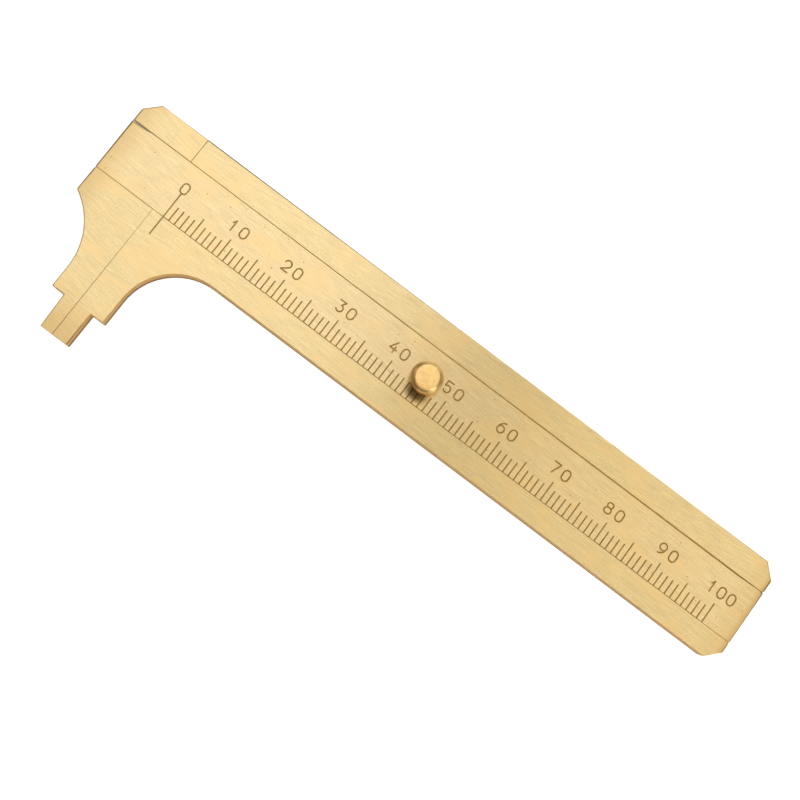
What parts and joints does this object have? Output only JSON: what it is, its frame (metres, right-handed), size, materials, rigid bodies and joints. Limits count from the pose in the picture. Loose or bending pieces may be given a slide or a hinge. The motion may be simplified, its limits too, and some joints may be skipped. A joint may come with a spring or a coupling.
{
  "type": "sliding gauge",
  "caption": "Flat brass sliding gauge with inside and outside jaws, an engraved millimetre scale and a thumb knob on the sliding bar.",
  "frame": {"origin": "on the back face, straight behind the zero line and the middle of the bar's width, so that the mark for a number of millimetres stands at that X", "axes": "+X along the scale towards its far end, +Y away from the jaws, +Z out of the engraved front face"},
  "size_m": [0.1179, 0.0371, 0.005],
  "materials": {
    "brushed_brass": "brushed along the scale",
    "engraved_brass": "brushed, with darkened engraving",
    "turned_brass": "turned and polished",
    "rivet_brass": "filed flush"
  },
  "bodies": {
    "frame": {"frame_back_plate": "brushed_brass", "upper_rail": "brushed_brass", "fixed_jaw_rail": "brushed_brass", "upper_rail_rivets": "rivet_brass", "lower_rail_rivets": "rivet_brass", "fixed_jaw_rivets": "rivet_brass", "stop_pin": "rivet_brass"},
    "slide": {"head_back_plate": "brushed_brass", "head_upper_block": "brushed_brass", "moving_jaw": "brushed_brass", "scale_bar": "engraved_brass", "thumb_knob": "turned_brass", "bar_rivets": "rivet_brass", "head_block_rivets": "rivet_brass", "moving_jaw_rivets": "rivet_brass"}
  },
  "joints": [
    {"name": "jaw_slide", "type": "slide", "parent": "frame", "child": "slide", "axis": [-1, 0, 0], "range_m": [0, 0.1]}
  ]
}
